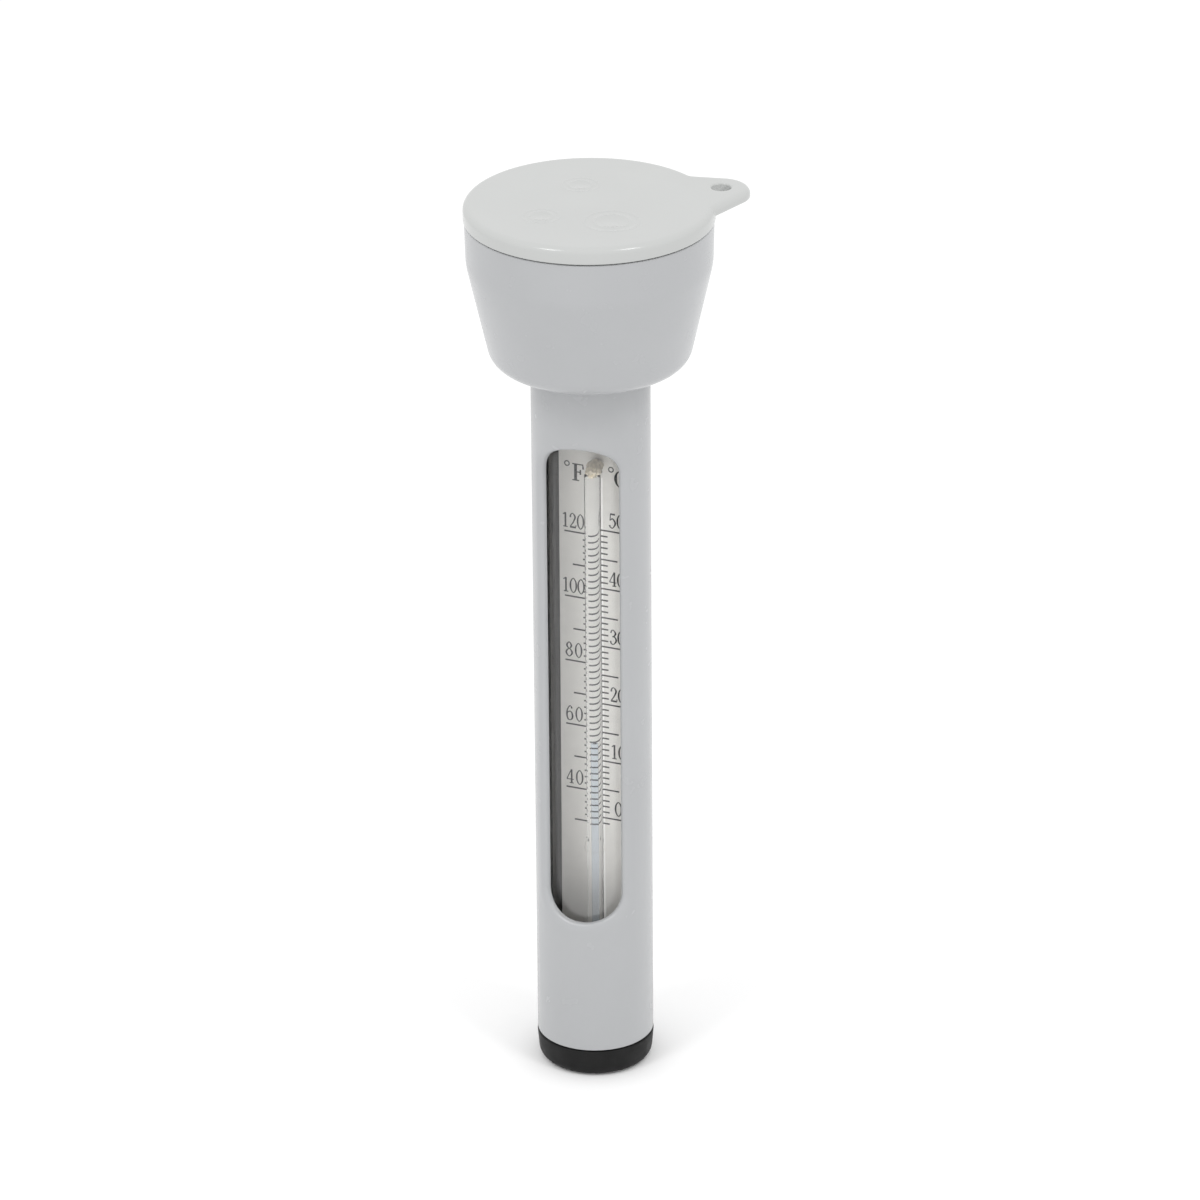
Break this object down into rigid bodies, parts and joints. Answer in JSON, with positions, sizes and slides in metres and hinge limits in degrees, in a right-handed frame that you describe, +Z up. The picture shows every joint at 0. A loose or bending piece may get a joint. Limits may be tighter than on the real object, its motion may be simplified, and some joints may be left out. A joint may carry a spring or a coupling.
{
  "type": "floating pool thermometer",
  "caption": "Floating pool thermometer: a hollow float head with a lid and cord tab, on a slotted tube that holds a sealed clear thermometer and its card and ends in a weighted rubber cap.",
  "frame": {"origin": "centre of the end cap's flat foot", "axes": "+Z up along the tube's axis, -Y out through the window, +X to the right as the window is faced"},
  "size_m": [0.0635, 0.0584, 0.2215],
  "materials": {
    "lid_plastic": "satin, light grey",
    "body_plastic": "satin, grey",
    "black_rubber": "matte, black",
    "ring_rubber": "matte, black",
    "steel": "turned",
    "foam": "closed-cell foam, white",
    "clear_plastic": "clear, polished",
    "stopper_plastic": "matte, white",
    "card": "coated card, printed",
    "stem_glass": "clear, polished",
    "spirit": "dyed spirit, blue",
    "adhesive": "set adhesive, amber",
    "tie_line": "clear nylon line"
  },
  "bodies": {
    "casing": {"casing_tube": "body_plastic", "float_bowl": "body_plastic", "upper_pad": "foam"},
    "lid": {"lid": "lid_plastic", "lid_ring": "ring_rubber"},
    "end_cap": {"end_cap": "black_rubber", "ballast_weight": "steel", "foot_pad": "foam"},
    "thermometer": {"clear_sleeve": "clear_plastic", "top_stopper": "stopper_plastic", "bottom_stopper": "stopper_plastic", "top_stopper_ring": "ring_rubber", "bottom_stopper_ring": "ring_rubber", "scale_card": "card", "glass_stem": "stem_glass", "bulb_spirit": "spirit", "stem_adhesive": "adhesive", "stem_tie": "tie_line"},
    "spirit": {"spirit_column": "spirit"}
  },
  "joints": [
    {"name": "lid_lift", "type": "slide", "parent": "casing", "child": "lid", "axis": [0, 0, 1], "range_m": [0, 0.03]},
    {"name": "cap_pull", "type": "slide", "parent": "casing", "child": "end_cap", "axis": [0, 0, -1], "range_m": [0, 0.03]},
    {"name": "thermometer_turn", "type": "hinge", "parent": "casing", "child": "thermometer", "pos_m": [0, 0, 0.1], "axis": [0, 0, 1], "continuous": true},
    {"name": "reading", "type": "slide", "parent": "thermometer", "child": "spirit", "axis": [0, 0, 1], "range_m": [-0.0233, 0.0535], "deforming": ["spirit_column"]}
  ]
}
